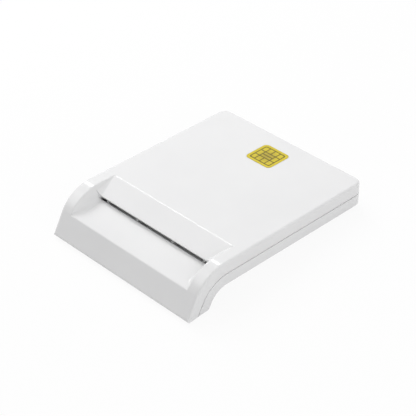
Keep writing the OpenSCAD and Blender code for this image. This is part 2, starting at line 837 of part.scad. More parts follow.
// Round rubber pad, level on the ground, grown by a play where it is a seat
module rear_foot_solid(play) {
    r = rear_foot_d / 2 + play;
    low = -rear_foot_proud * cos(tilt);
    level([0, rear_foot_y, -body_t]) translate([0, 0, low]) rotate_extrude() polygon([
        [0, 0], [r - foot_bevel, 0], [r, foot_bevel],
        [r, rear_foot_seat - low], [0, rear_foot_seat - low]
    ]);
}

// Rubber strip with round ends under the hook, grown by a play where it is a seat
module front_foot_solid(play) {
    level([0, front_foot_y, sole_z(front_foot_y)])
        upright(-front_foot_proud * cos(tilt), front_foot_seat)
            stadium(front_foot_l + 2 * play, front_foot_w + 2 * play);
}

module front_left_foot() {
    color("dimgray") stand() translate([-front_foot_x, 0, 0]) front_foot_solid(0);
}

module front_right_foot() {
    color("dimgray") stand() translate([front_foot_x, 0, 0]) front_foot_solid(0);
}

module rear_left_foot() {
    color("dimgray") stand() translate([-rear_foot_x, 0, 0]) rear_foot_solid(0);
}

module rear_right_foot() {
    color("dimgray") stand() translate([rear_foot_x, 0, 0]) rear_foot_solid(0);
}

// Screw with a flat head and a cross recess, its seat at the origin, its shank upwards
module screw(d, l, head_d, head_h) {
    difference() {
        union() {
            upright(0, l) circle(d = d);
            upright(-head_h, 0) circle(d = head_d);
        }
        for (turn = [0, 90]) rotate([0, 0, turn])
            translate([-head_d / 3, -cross_w / 2, -head_h - over])
                cube([head_d * 2 / 3, cross_w, cross_depth + over]);
    }
}

module housing_screws() {
    color("silver") stand() at_screws()
        translate([0, 0, screw_seat_z]) screw(screw_d, screw_l, screw_head_d, screw_head_h);
}

module board_screws() {
    color("silver") stand() at_pair(board_fix_x, board_screw_y)
        translate([0, 0, board_z]) mirror([0, 0, 1])
            screw(board_screw_d, board_screw_l, board_screw_head_d, board_screw_head_h);
}

// Board with holes for its two screws and two locating pins
module circuit_board() {
    color("darkgreen") stand() difference() {
        translate([-board_w / 2, board_front_y, board_z - board_t])
            cube([board_w, board_rear_y - board_front_y, board_t]);
        at_pair(board_fix_x, board_screw_y)
            upright(-far, over) circle(d = board_screw_d + 2 * board_play);
        at_pair(board_fix_x, board_pin_y)
            upright(-far, over) circle(d = board_pin_d + 2 * board_play);
    }
}

// Side view of a sprung leaf's strip from its root over the contact bow to its run-out
module leaf_outline() {
    inner_r = leaf_bow_r - leaf_t;
    peak = sharp_corner(bow_c, leaf_back, leaf_on, leaf_bow_r);
    inner_peak = sharp_corner(bow_c, leaf_back, leaf_on, inner_r);
    start = [sin(leaf_rise), -cos(leaf_rise)] * leaf_t / 2;
    difference() {
        polygon([-start, peak, tip_low + leaf_t * fall_out, tip_low, start]);
        corner_cut(peak, leaf_back, leaf_on, leaf_bow_r);
        difference() {
            polygon([start + over * leaf_back, inner_peak, tip_low + over * leaf_on]);
            corner_cut(inner_peak, leaf_back, leaf_on, inner_r);
        }
    }
}

// Sprung leaf with its rolled root at the origin
module leaf(width) {
    across(width) circle(leaf_root_r);
    across(width) leaf_outline();
}

// Side view of a fixed tail: a strip through the bar, a leg and a solder foot
module tail_outline(drop) {
    knee = -frame_front - tail_t;
    translate([knee, -tail_t / 2])
        square([-knee - leaf_root_r - leaf_gap, tail_t]);
    translate([knee, drop]) square([tail_t, tail_t / 2 - drop]);
    translate([knee - foot_l, drop]) square([foot_l + tail_t, tail_t]);
}

// Places a piece at the root of one of the eight springs, numbered along the front row
// and then along the rear row, which points the other way
module at_spring(number) {
    rear = number > len(contact_x);
    x = contact_x[(number - 1) % len(contact_x)];
    translate([x, rear ? root_rear_y : root_front_y, root_z])
        mirror([0, rear ? 1 : 0, 0]) children();
}

module contact_spring(number) {
    color("gold") stand() at_spring(number) leaf(leaf_w);
}

module contact_tails() {
    color("gold") stand() {
        for (number = [1 : 2 * len(contact_x)])
            at_spring(number) across(leaf_w) tail_outline(foot_drop);
        translate([switch_x, switch_root_y, root_z]) across(switch_w) tail_outline(foot_drop);
    }
}

// Lever that the card's leading edge presses down onto the fixed blade
module switch_lever() {
    color("gold") stand() translate([switch_x, switch_root_y, root_z]) leaf(switch_w);
}

// Fixed blade of the card switch, held in the frame's end wall
module switch_blade() {
    start = switch_root_y + leaf_reach + leaf_t;
    color("gold") stand() translate([switch_x, 0, 0]) across(switch_w) {
        translate([start, blade_top_z - tail_t]) square([frame_rear_y + tail_t - start, tail_t]);
        translate([frame_rear_y, board_z]) square([tail_t, blade_top_z - board_z]);
        translate([frame_rear_y, board_z]) square([foot_l, tail_t]);
    }
}

// Pocket for a leaf, the hole for its tail and the window over its solder foot
module leaf_pocket(w, tail_w) {
    window = frame_front + tail_t + foot_l + leaf_play;
    half_hole = tail_t / 2 + tail_play;
    translate([-w / 2, -pocket_start, -far]) cube([w, pocket_start + pocket_end, 2 * far]);
    translate([-tail_w / 2 - tail_play, -frame_front - over, -half_hole])
        cube([tail_w + 2 * tail_play, over + frame_bar + tail_play, 2 * half_hole]);
    translate([-w / 2, -window, -far]) cube([w, window - frame_front, 2 * far]);
}

// Frame that holds the springs, guides the card over them and stops it at its end wall
module contact_frame() {
    color([0.12, 0.12, 0.13]) stand() difference() {
        union() {
            translate([-frame_half_w, frame_front_y, board_z])
                cube([2 * frame_half_w, frame_rear_y - frame_front_y, frame_top_z - board_z]);
            both_sides() translate([frame_half_w - stop_w, card_stop_y, board_z])
                cube([stop_w, stop_t, card_top_z - board_z]);
        }
        for (number = [1 : 2 * len(contact_x)]) at_spring(number) leaf_pocket(pocket_w, leaf_w);
        translate([switch_x, switch_root_y, root_z])
            leaf_pocket(switch_w + 2 * leaf_play, switch_w);
        translate([switch_x - switch_w / 2 - tail_play, switch_root_y + leaf_reach,
                blade_top_z - tail_t - tail_play])
            cube([switch_w + 2 * tail_play, far, tail_t + 2 * tail_play]);
    }
}

module control_chip() {
    color([0.1, 0.1, 0.11]) stand()
        translate([-chip_x - chip_l / 2, parts_y - chip_w / 2, board_z + chip_stand])
            cube([chip_l, chip_w, chip_h]);
}

// Two rows of bent legs
module chip_legs() {
    middle = chip_stand + chip_h / 2;
    knee = (chip_w + chip_span) / 4;
    color("silver") stand() translate([-chip_x, parts_y, board_z])
        for (side = [0, 1], i = [0 : leg_count - 1]) mirror([0, side, 0])
            translate([(i - (leg_count - 1) / 2) * leg_pitch, 0, 0]) across(leg_w) {
                translate([chip_w / 2, middle]) square([knee - chip_w / 2 + leg_t, leg_t]);
                translate([knee, 0]) square([leg_t, middle + leg_t]);
                translate([knee, 0]) square([chip_span / 2 - knee, leg_t]);
            }
}

// Crystal in a flat metal can with a base flange
module crystal() {
    color("lightgray") stand() translate([crystal_x, parts_y, board_z]) {
        upright(0, crystal_h) stadium(crystal_l, crystal_w);
        upright(0, crystal_flange_t)
            stadium(crystal_l + 2 * crystal_flange, crystal_w + 2 * crystal_flange);
    }
}

module capacitors() {
    color("tan") stand() for (i = [0 : capacitor_count - 1])
        translate([
            (i - (capacitor_count - 1) / 2) * capacitor_pitch - capacitor_w / 2,
            small_parts_y - capacitor_l / 2, board_z
        ]) cube([capacitor_w, capacitor_l, capacitor_h]);
}

module resistors() {
    color([0.15, 0.15, 0.17]) stand() for (i = [0 : resistor_count - 1])
        translate([resistor_x - resistor_l / 2, resistor_y + i * resistor_pitch, board_z])
            cube([resistor_l, resistor_w, resistor_h]);
}

module regulator() {
    color([0.15, 0.15, 0.17]) stand()
        translate([-resistor_x - regulator_l / 2, row_rear_y - regulator_w, board_z])
            cube([regulator_l, regulator_w, regulator_h]);
}

// Sheet-metal shell of the rear socket
module socket_shell() {
    color("silver") stand() translate([0, 0, socket_z])
        along(socket_mouth_y - socket_l, socket_mouth_y) difference() {
            rounded(socket_w, socket_h, socket_r);
            rounded(socket_w - 2 * socket_t, socket_h - 2 * socket_t, socket_r - socket_t);
        }
}

// Insulator that closes the shell's rear end and carries the tongue
module socket_tongue() {
    inner_w = socket_w - 2 * socket_t;
    inner_h = socket_h - 2 * socket_t;
    base_y = socket_mouth_y - strip_margin - tongue_l;
    color([0.12, 0.12, 0.13]) stand() translate([0, 0, socket_z]) {
        along(socket_mouth_y - socket_l, base_y) rounded(inner_w, inner_h, socket_r - socket_t);
        along(base_y - over, socket_mouth_y - strip_margin)
            square([tongue_w, tongue_t], center = true);
    }
}

// Contact strips on both faces of the tongue
module socket_strips() {
    tip_y = socket_mouth_y - strip_margin - strip_margin;
    color("gold") stand() translate([0, 0, socket_z])
        for (side = [0, 1], i = [0 : strip_count - 1]) mirror([0, 0, side])
            translate([
                (i - (strip_count - 1) / 2) * strip_pitch - strip_w / 2, tip_y - strip_l,
                tongue_t / 2
            ]) cube([strip_w, strip_l, strip_t]);
}

// Lines between the pads of the symbol: a frame, two long lines and short ones in each row
module symbol_line_plan() {
    w = symbol_w - 2 * border_w;
    l = symbol_l - 2 * border_w;
    difference() {
        rounded(w, l, symbol_r / 2);
        rounded(w - 2 * line_w, l - 2 * line_w, symbol_r / 2 - line_w / 2);
    }
    for (side = [-1, 1]) {
        translate([0, side * l * row_share]) square([w - line_w, line_w], center = true);
        for (i = [-1 : 1]) translate([i * w / 4, side * (l / 2 + l * row_share) / 2])
            square([line_w, l / 2 - l * row_share], center = true);
    }
    square([w / 2 + line_w, line_w], center = true);
    for (side = [-1, 1]) translate([side * w / 4, 0])
        square([line_w, 2 * l * row_share], center = true);
}

module symbol_plate() {
    color("gold") stand() translate([0, symbol_y, 0]) difference() {
        upright(symbol_proud - symbol_t, symbol_proud) rounded(symbol_w, symbol_l, symbol_r);
        upright(symbol_proud - line_depth, over) symbol_line_plan();
    }
}

module symbol_lines() {
    color("olive") stand() translate([0, symbol_y, 0])
        upright(symbol_proud - line_depth, symbol_proud - line_depth / 4) symbol_line_plan();
}

top_cover();
bottom_cover();
symbol_plate();
symbol_lines();
front_left_foot();
front_right_foot();
rear_left_foot();
rear_right_foot();
housing_screws();
circuit_board();
board_screws();
contact_frame();
contact_tails();
contact_spring(1);  // contact_spring_1
contact_spring(2);  // contact_spring_2
contact_spring(3);  // contact_spring_3
contact_spring(4);  // contact_spring_4
contact_spring(5);  // contact_spring_5
contact_spring(6);  // contact_spring_6
contact_spring(7);  // contact_spring_7
contact_spring(8);  // contact_spring_8
switch_lever();
switch_blade();
control_chip();
chip_legs();
crystal();
capacitors();
resistors();
regulator();
socket_shell();
socket_tongue();
socket_strips();
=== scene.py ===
import math

import bmesh
import bpy
from mathutils import Matrix, Vector


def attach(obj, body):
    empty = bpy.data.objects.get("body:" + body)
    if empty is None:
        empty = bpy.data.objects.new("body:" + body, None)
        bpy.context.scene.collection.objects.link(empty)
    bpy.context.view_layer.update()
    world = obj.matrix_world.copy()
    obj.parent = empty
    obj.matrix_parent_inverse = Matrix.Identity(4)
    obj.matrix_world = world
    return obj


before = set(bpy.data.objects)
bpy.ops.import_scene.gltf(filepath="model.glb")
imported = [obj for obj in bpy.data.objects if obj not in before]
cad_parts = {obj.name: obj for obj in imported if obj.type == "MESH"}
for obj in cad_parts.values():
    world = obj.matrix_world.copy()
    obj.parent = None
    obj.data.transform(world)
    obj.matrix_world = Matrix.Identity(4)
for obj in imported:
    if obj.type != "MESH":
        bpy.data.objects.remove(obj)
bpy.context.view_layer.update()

MM = 0.001

# Camera: fitted to the outline of the photographed object
CAMERA_AZIMUTH = math.radians(48.555)
CAMERA_ELEVATION = math.radians(38.108)
CAMERA_ROLL = math.radians(4.5266)
CAMERA_DISTANCE = 0.519354
CAMERA_TARGET = Vector((0.0009688, -0.0006109, 0.0065529))
CAMERA_LENS = 126.8645
SENSOR_WIDTH = 36.0
CLIP_RANGE = (0.01, 20.0)

# Studio lamps: place, level, length and width, direction of the length, and whether gloss shows
# the lamp. The level is the irradiance over pi on a surface at the origin that faces the lamp.
LAMPS = {
    "key": ((-0.47, 0.18, 0.62), 0.36, (0.6, 0.6), (1.0, 0.0, 0.0), False),
    "side": ((0.65, -0.02, 0.38), 0.40, (0.6, 0.6), (0.0, 1.0, 0.0), False),
    "left": ((-0.70, 0.25, 0.25), 0.31, (0.6, 0.6), (0.0, 1.0, 0.0), False),
    "sheen": ((-0.50, -0.30, 0.60), 0.15, (0.5, 0.5), (1.0, 0.0, 0.0), True),
    "glint": ((-0.492, 0.294, 0.558), 0.14, (0.44, 0.085), (0.933, 0.190, 0.304), True),
    "rim": ((0.52, -0.58, 0.18), 0.06, (0.24, 0.24), (1.0, 0.0, 0.0), True),
}

# Surroundings: the world's light on the object, and its brightness where it is seen directly
WORLD_LEVEL = 0.36
WORLD_SEEN = 1.0

# Floor: half its side, its own colour and roughness, and how bright its glow is, and which share
# of the look the glow has where the floor is seen directly
FLOOR_HALF = 1.2
FLOOR_ALBEDO = 0.7
FLOOR_ROUGHNESS = 0.9
FLOOR_GLOW = 1.02
FLOOR_GLOW_SHARE = 0.9

# Shaders: detail and middle range of the noises, samples of the rounded normals, how strongly
# edges show, index of refraction, and the places of a Mix node's colour sockets, which share
# their names with its other sockets
NOISE_DETAIL = 2.0
NOISE_RANGE = (0.3, 0.7)
BEVEL_SAMPLES = 8
EDGE_STRENGTH = 3.0
PLASTIC_IOR = 1.5
MIX_FIRST, MIX_SECOND, MIX_RESULT = 6, 7, 2

# Finishes: one for each material slot of the record, and two more, white_fillet for blends that
# are too thin for rounded edges, and trace_green for the board's coat over a trace. Each has the
# two colours of its mottle, the grain of its mottle and of its relief, its range of roughness, the
# depth of its relief, and the radius and colour of its edges. Lengths are in millimetres.
WHITE = {
    "colours": ((0.795, 0.795, 0.80), (0.815, 0.815, 0.818)), "grain": (20.0, 0.18),
    "roughness": (0.11, 0.15), "relief": 0.0004,
}
FINISHES = {
    # white_housing's lighter edge colour is a painted highlight along its edges, such as the front
    # lip and the recess's rear edge
    "white_housing": {**WHITE, "edge": (0.45, (0.92, 0.92, 0.92))},
    "white_fillet": WHITE,
    "gold_print": {
        "colours": ((0.58, 0.46, 0.004), (0.66, 0.53, 0.008)), "grain": (0.8, 0.08),
        "roughness": (0.35, 0.5), "relief": 0.002, "edge": (0.1, (0.42, 0.34, 0.02)),
        "dull_middle": (0.40, 0.31, 0.012),
    },
    "dark_print": {
        "colours": ((0.085, 0.062, 0.003), (0.13, 0.10, 0.005)), "grain": (0.6, 0.08),
        "roughness": (0.45, 0.6), "relief": 0.002, "edge": (0.1, (0.16, 0.12, 0.01)),
    },
    "rubber": {
        "colours": ((0.020, 0.020, 0.022), (0.032, 0.032, 0.034)), "grain": (1.2, 0.15),
        "roughness": (0.65, 0.85), "relief": 0.012, "edge": (0.3, (0.06, 0.06, 0.06)),
    },
    "screw_steel": {
        "colours": ((0.52, 0.53, 0.54), (0.62, 0.62, 0.62)), "grain": (0.7, 0.06),
        "roughness": (0.25, 0.42), "relief": 0.003, "edge": (0.1, (0.75, 0.75, 0.74)),
        "metallic": 1.0,
    },
    "board_green": {
        "colours": ((0.012, 0.11, 0.045), (0.02, 0.15, 0.06)), "grain": (2.5, 0.12),
        "roughness": (0.25, 0.38), "relief": 0.004, "edge": (0.15, (0.35, 0.33, 0.18)),
    },
    "trace_green": {
        "colours": ((0.03, 0.19, 0.075), (0.04, 0.23, 0.09)), "grain": (2.5, 0.12),
        "roughness": (0.22, 0.34), "relief": 0.002,
    },
    "black_insulator": {
        "colours": ((0.018, 0.018, 0.019), (0.035, 0.035, 0.037)), "grain": (0.4, 0.1),
        "roughness": (0.4, 0.6), "relief": 0.008, "edge": (0.15, (0.06, 0.06, 0.06)),
    },
    "contact_gold": {
        "colours": ((0.80, 0.60, 0.22), (0.88, 0.70, 0.30)), "grain": (0.5, 0.05),
        "roughness": (0.18, 0.32), "relief": 0.002, "edge": (0.05, (0.93, 0.78, 0.42)),
        "metallic": 1.0,
    },
    "chip_black": {
        "colours": ((0.020, 0.020, 0.022), (0.032, 0.032, 0.034)), "grain": (0.6, 0.1),
        "roughness": (0.5, 0.7), "relief": 0.006, "edge": (0.12, (0.07, 0.07, 0.07)),
    },
    "tinned": {
        "colours": ((0.62, 0.62, 0.62), (0.72, 0.72, 0.71)), "grain": (0.4, 0.08),
        "roughness": (0.28, 0.45), "relief": 0.004, "edge": (0.05, (0.8, 0.8, 0.8)),
        "metallic": 1.0,
    },
    "crystal_can": {
        "colours": ((0.60, 0.60, 0.59), (0.68, 0.68, 0.66)), "grain": (1.0, 0.1),
        "roughness": (0.22, 0.36), "relief": 0.003, "edge": (0.1, (0.78, 0.78, 0.76)),
        "metallic": 1.0,
    },
    "ceramic_tan": {
        "colours": ((0.42, 0.29, 0.16), (0.52, 0.38, 0.23)), "grain": (0.4, 0.08),
        "roughness": (0.4, 0.6), "relief": 0.004, "edge": (0.06, (0.6, 0.48, 0.33)),
    },
    "socket_steel": {
        "colours": ((0.56, 0.56, 0.57), (0.65, 0.65, 0.65)), "grain": (0.9, 0.08),
        "roughness": (0.22, 0.38), "relief": 0.003, "edge": (0.08, (0.78, 0.78, 0.78)),
        "metallic": 1.0,
    },
}

# Housing, as part.scad has it, in millimetres. The slab's own frame has the flat top at height 0
# and the lower front edge at depth 0; slab_point turns it into the model's frame.
TILT = math.radians(4.479628)
SLAB_LIFT = 16.997915
SLAB_MIDDLE = 42.436416
BEND_RADIUS = 15.1
BEND_CENTRE = 18.0
RECESS_HALF = 29.8
RECESS_LEAN = 0.505
RECESS_BACK = (25.6, -0.16)
SLOT_LIP = (16.8, -2.9)
SLOT_FLOOR = (16.8, -4.9)
FRONT_LIP = (5.5, -7.135)

# Symbol: its middle in the slab's frame, and the distances from there at which its dull middle
# starts to fade and has gone, in millimetres
SYMBOL_MIDDLE = (0.0, 73.7, 0.0)
DULL_RANGE = (1.2, 4.2)

# Fillets in the corners of the recess, in millimetres: the ends of the corner, rear end first, how
# far the fillet reaches along the floor and up the wall at each end, and how flat its section is
FILLETS = {
    "slope_fillet_": ((RECESS_BACK, SLOT_LIP), (0.1, 2.0), (0.1, 1.4), 0.75),
    "floor_fillet_": ((SLOT_FLOOR, FRONT_LIP), (0.8, 1.8), (1.6, 1.4), 0.25),
}

# Steps across and along a fillet, the most of the wall's height that it climbs, and how deep its
# root lies in the cover
FILLET_STEPS = 8
FILLET_STATIONS = 16
WALL_SHARE = 0.55
FILLET_ROOT = 0.05

# Circuit board: height of its top, and what lies on it, in the slab's frame and in millimetres.
# FRAME_SIDE is half the width of the contact frame.
BOARD_TOP = -6.2
CAPACITORS = [(x, 74.2) for x in (-4.795, -1.595, 1.595, 4.795)]
CAPACITOR_SIZE = (1.25, 2.0, 0.85)
RESISTORS = [(18.4, 50.9 + 2.6 * i) for i in range(5)]
RESISTOR_SIZE = (0.8, 1.6, 0.45)
CHIP_LEG_X = [-16.42 + 0.65 * i for i in range(14)]
CHIP_FRONT = 73.9
CHIP_REAR = 82.5
FRAME_SIDE = 13.3

# Metal ends of the chip parts: length, thickness, and how far and high their solder reaches
CAP_LENGTH = 0.38
CAP_SKIN = 0.02
SOLDER_REACH = 0.5
SOLDER_RISE = 0.8
SOLDER_STEPS = 5

# Regulator: its middle, half its depth, the place of each leg as a shift along it and the side
# that the leg is on, half a leg's width, and a leg's side view from the body outwards
REGULATOR = (-18.4, 59.1)
REGULATOR_HALF = 0.65
REGULATOR_LEGS = ((-0.95, -1.0), (0.95, -1.0), (0.0, 1.0))
LEG_HALF = 0.2
LEG_PROFILE = (
    (-0.05, 0.62), (0.2, 0.62), (0.42, 0.13), (0.72, 0.13),
    (0.72, 0.0), (0.34, 0.0), (0.12, 0.5), (-0.05, 0.5),
)

# Traces: width, height, and the least cosine of half a bend that their edges allow for
TRACE_WIDTH = 0.24
TRACE_HEIGHT = 0.03
MITRE_LIMIT = 0.3

# Lanes from the chip's front legs into the contact frame: which legs, the straight run before a
# leg, the place and pitch of the lanes, and where the first one ends and enters the frame. Each
# next one ends a millimetre further to the front.
LANE_LEGS = slice(0, 6)
LANE_RUN = 0.7
LANE_X = -15.0
LANE_PITCH = 0.55
LANE_END = 52.0
FRAME_ENTRY = 50.3

# Stubs of more front legs: which legs, the straight run, the step aside, and where they end
STUB_LEGS = slice(8, 13)
STUB_RUN = 0.5
STUB_STEP = 0.4
STUB_END = 72.3

# Traces from the chip's rear legs to the socket: which legs, how far under a leg they start, their
# pitch, the bend's size, and where the first one ends and how much further the next ones go
SOCKET_LEGS = slice(9, 14)
SOCKET_START = 0.3
SOCKET_PITCH = 0.25
SOCKET_BEND = 0.1
SOCKET_END = -4.6
SOCKET_END_STEP = 0.1

# Traces of the resistors: their start from the middle of the part, the bend's start and size, the
# lane to the vias, and how far they run along it
RESISTOR_START = 1.2
RESISTOR_BEND = 3.0
BEND_SIZE = 0.6
VIA_LANE = 21.8
VIA_RUN = 1.5

# Traces of the crystal: to the socket, and round its right side into the contact frame
CRYSTAL_TRACES = (
    ((5.2, 79.3), (4.9, 79.3), (4.6, 79.6)),
    ((17.9, 77.0), (20.4, 77.0), (21.2, 76.2), (21.2, 66.0), (20.6, 65.4), (FRAME_SIDE, 65.4)),
)

# Vias: section as radius and height, the distance of one behind each resistor, and three rows:
# staggered behind the chip, along the board's left edge, and in front of the crystal
VIA_PROFILE = ((0.14, 0.0), (0.14, 0.04), (0.25, 0.05), (0.30, 0.03), (0.30, 0.0))
RESISTOR_VIA = 1.6
VIA_COUNT = 5
CHIP_VIA_Y = 83.3
CHIP_VIA_STAGGER = 0.35
LEFT_VIAS = (-21.6, 66.0)
LEFT_VIA_PITCH = 1.4
RIGHT_VIAS = (8.0, 73.6)
RIGHT_VIA_PITCH = 2.0

# Moulded mark on the chip: its place in the slab's frame, and its section as radius and height
CHIP_MARK = (-16.3, 76.5, -4.45)
CHIP_MARK_PROFILE = ((0.26, -0.02), (0.26, 0.006), (0.34, 0.02), (0.42, 0.006), (0.42, -0.02))

# Steps round a ring
ROUND_STEPS = 24


def level_axes(azimuth, elevation):
    """Directions backwards, right and up of a level camera."""
    back = Vector((
        math.sin(azimuth) * math.cos(elevation),
        -math.cos(azimuth) * math.cos(elevation),
        math.sin(elevation),
    ))
    right = Vector((math.cos(azimuth), math.sin(azimuth), 0.0))
    return back, right, back.cross(right)


def make_camera():
    """Camera at the photograph's viewing angle, rolled as the photograph is."""
    back, level_right, level_up = level_axes(CAMERA_AZIMUTH, CAMERA_ELEVATION)
    right = level_right * math.cos(CAMERA_ROLL) - level_up * math.sin(CAMERA_ROLL)
    up = level_up * math.cos(CAMERA_ROLL) + level_right * math.sin(CAMERA_ROLL)
    camera = bpy.data.objects.new("camera", bpy.data.cameras.new("camera"))
    bpy.context.scene.collection.objects.link(camera)
    camera.data.sensor_width = SENSOR_WIDTH
    camera.data.lens = CAMERA_LENS
    camera.data.clip_start, camera.data.clip_end = CLIP_RANGE
    place = Matrix((right, up, back)).transposed().to_4x4()
    place.translation = CAMERA_TARGET + back * CAMERA_DISTANCE
    camera.matrix_world = place
    bpy.context.scene.camera = camera


def make_lamp(name, place, level, size, along, in_gloss):
    """Softbox that faces the origin."""
    data = bpy.data.lights.new(name, "AREA")
    data.shape = "RECTANGLE"
    data.size, data.size_y = size
    place = Vector(place)
    data.energy = level * math.pi ** 2 * place.length_squared
    lamp = bpy.data.objects.new(name, data)
    bpy.context.scene.collection.objects.link(lamp)
    lamp.visible_glossy = in_gloss
    outward = place.normalized()
    across = outward.cross(Vector(along)).normalized()
    axes = Matrix((across.cross(outward), across, outward)).transposed().to_4x4()
    axes.translation = place
    lamp.matrix_world = axes


def seen_directly(tree):
    """Factor that is 1 for camera, glossy and transmission rays."""
    path = tree.nodes.new("ShaderNodeLightPath")
    factor = path.outputs["Is Camera Ray"]
    for ray in ("Is Glossy Ray", "Is Transmission Ray"):
        either = tree.nodes.new("ShaderNodeMath")
        either.operation = "MAXIMUM"
        tree.links.new(factor, either.inputs[0])
        tree.links.new(path.outputs[ray], either.inputs[1])
        factor = either.outputs[0]
    return factor


def make_world():
    """Even pale surroundings that look white where they are seen directly."""
    world = bpy.data.worlds.new("studio")
    bpy.context.scene.world = world
    world.use_nodes = True
    tree = world.node_tree
    background = tree.nodes["Background"]
    background.inputs["Color"].default_value = (1.0, 1.0, 1.0, 1.0)
    strength = tree.nodes.new("ShaderNodeMapRange")
    tree.links.new(seen_directly(tree), strength.inputs["Value"])
    strength.inputs["To Min"].default_value = WORLD_LEVEL
    strength.inputs["To Max"].default_value = WORLD_SEEN
    tree.links.new(strength.outputs["Result"], background.inputs["Strength"])


def make_floor():
    """Plain pale floor, bright where it is seen directly, which keeps the soft shadow."""
    mesh = bpy.data.meshes.new("floor")
    half = FLOOR_HALF
    corner_points = [(-half, -half, 0), (half, -half, 0), (half, half, 0), (-half, half, 0)]
    mesh.from_pydata(corner_points, [], [(0, 1, 2, 3)])
    floor = bpy.data.objects.new("floor", mesh)
    bpy.context.scene.collection.objects.link(floor)
    material = bpy.data.materials.new("floor_paper")
    material.use_nodes = True
    tree = material.node_tree
    surface = tree.nodes["Principled BSDF"]
    surface.inputs["Base Color"].default_value = (FLOOR_ALBEDO, FLOOR_ALBEDO, FLOOR_ALBEDO, 1.0)
    surface.inputs["Roughness"].default_value = FLOOR_ROUGHNESS
    surface.inputs["Specular IOR Level"].default_value = 0.0
    glow = tree.nodes.new("ShaderNodeEmission")
    glow.inputs["Strength"].default_value = FLOOR_GLOW
    share = tree.nodes.new("ShaderNodeMath")
    share.operation = "MULTIPLY"
    tree.links.new(seen_directly(tree), share.inputs[0])
    share.inputs[1].default_value = FLOOR_GLOW_SHARE
    mix = tree.nodes.new("ShaderNodeMixShader")
    tree.links.new(share.outputs[0], mix.inputs["Fac"])
    tree.links.new(surface.outputs["BSDF"], mix.inputs[1])
    tree.links.new(glow.outputs["Emission"], mix.inputs[2])
    tree.links.new(mix.outputs["Shader"], tree.nodes["Material Output"].inputs["Surface"])
    mesh.materials.append(material)


def noise(tree, size):
    """Noise whose largest grains measure about size, in metres, on the piece itself."""
    place = tree.nodes.new("ShaderNodeTexCoord")
    texture = tree.nodes.new("ShaderNodeTexNoise")
    texture.inputs["Scale"].default_value = 1.0 / size
    texture.inputs["Detail"].default_value = NOISE_DETAIL
    tree.links.new(place.outputs["Object"], texture.inputs["Vector"])
    return texture.outputs["Fac"]


def spread(tree, value, from_range, to_range):
    """Maps one range of a value to another, and holds it at the ends."""
    node = tree.nodes.new("ShaderNodeMapRange")
    node.inputs["From Min"].default_value, node.inputs["From Max"].default_value = from_range
    node.inputs["To Min"].default_value, node.inputs["To Max"].default_value = to_range
    tree.links.new(value, node.inputs["Value"])
    return node.outputs["Result"]


def soft_edges(tree, radius):
    """Normal that is rounded over along sharp edges."""
    bevel = tree.nodes.new("ShaderNodeBevel")
    bevel.samples = BEVEL_SAMPLES
    bevel.inputs["Radius"].default_value = radius
    return bevel.outputs["Normal"]


def edge_mask(tree, soft_normal):
    """Factor that rises to 1 along sharp edges, from the rounded normal."""
    geometry = tree.nodes.new("ShaderNodeNewGeometry")
    dot = tree.nodes.new("ShaderNodeVectorMath")
    dot.operation = "DOT_PRODUCT"
    tree.links.new(soft_normal, dot.inputs[0])
    tree.links.new(geometry.outputs["Normal"], dot.inputs[1])
    return spread(tree, dot.outputs["Value"], (1.0, 1.0 - 1.0 / EDGE_STRENGTH), (0.0, 1.0))


def blend_colours(tree, factor, first, second):
    """Colour mixed from two colours, each a constant or another node's output."""
    node = tree.nodes.new("ShaderNodeMix")
    node.data_type = "RGBA"
    tree.links.new(factor, node.inputs[0])
    for place, value in ((MIX_FIRST, first), (MIX_SECOND, second)):
        if isinstance(value, tuple):
            node.inputs[place].default_value = (*value, 1.0)
        else:
            tree.links.new(value, node.inputs[place])
    return node.outputs[MIX_RESULT]


def bump(tree, height, distance, normal):
    """Normal of a surface with a relief of the given depth, in metres, over another normal."""
    node = tree.nodes.new("ShaderNodeBump")
    node.inputs["Strength"].default_value = 1.0
    node.inputs["Distance"].default_value = distance
    tree.links.new(height, node.inputs["Height"])
    if normal:
        tree.links.new(normal, node.inputs["Normal"])
    return node.outputs["Normal"]


def dull_towards_middle(tree, dull_colour, colour):
    """Colour that turns dull towards the middle of the symbol."""
    place = tree.nodes.new("ShaderNodeTexCoord")
    away = tree.nodes.new("ShaderNodeVectorMath")
    away.operation = "DISTANCE"
    tree.links.new(place.outputs["Object"], away.inputs[0])
    away.inputs[1].default_value = slab_point(*SYMBOL_MIDDLE)
    fade = [distance * MM for distance in DULL_RANGE]
    share = spread(tree, away.outputs["Value"], fade, (0.0, 1.0))
    return blend_colours(tree, share, dull_colour, colour)


def finish_material(
        name, colours, grain, roughness, relief, edge=None, dull_middle=None, metallic=0.0):
    """Material with mottled colour, varied roughness, a fine relief and, with edge, edges of
    another colour: wear on most finishes, a painted highlight on white_housing.
    """
    material = bpy.data.materials.new(name + "_finish")
    material.use_nodes = True
    tree = material.node_tree
    surface = tree.nodes["Principled BSDF"]
    coarse = noise(tree, grain[0] * MM)
    colour = blend_colours(tree, spread(tree, coarse, NOISE_RANGE, (0.0, 1.0)), *colours)
    if dull_middle:
        colour = dull_towards_middle(tree, dull_middle, colour)
    normal = None
    if edge:
        # The edge colour is wear on most finishes; on white_housing it is a painted highlight
        radius, edge_wear_and_highlight_colour = edge
        normal = soft_edges(tree, radius * MM)
        colour = blend_colours(tree, edge_mask(tree, normal), colour, edge_wear_and_highlight_colour)
    tree.links.new(colour, surface.inputs["Base Color"])
    fine = noise(tree, grain[1] * MM)
    tree.links.new(spread(tree, fine, NOISE_RANGE, roughness), surface.inputs["Roughness"])
    tree.links.new(bump(tree, fine, relief * MM, normal), surface.inputs["Normal"])
    surface.inputs["Metallic"].default_value = metallic
    surface.inputs["IOR"].default_value = PLASTIC_IOR
    return material


def dress_nodes(materials):
    """Gives each CAD node the material of its slot."""
    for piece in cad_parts.values():
        for place in piece.material_slots:
            place.material = materials[place.material.name]


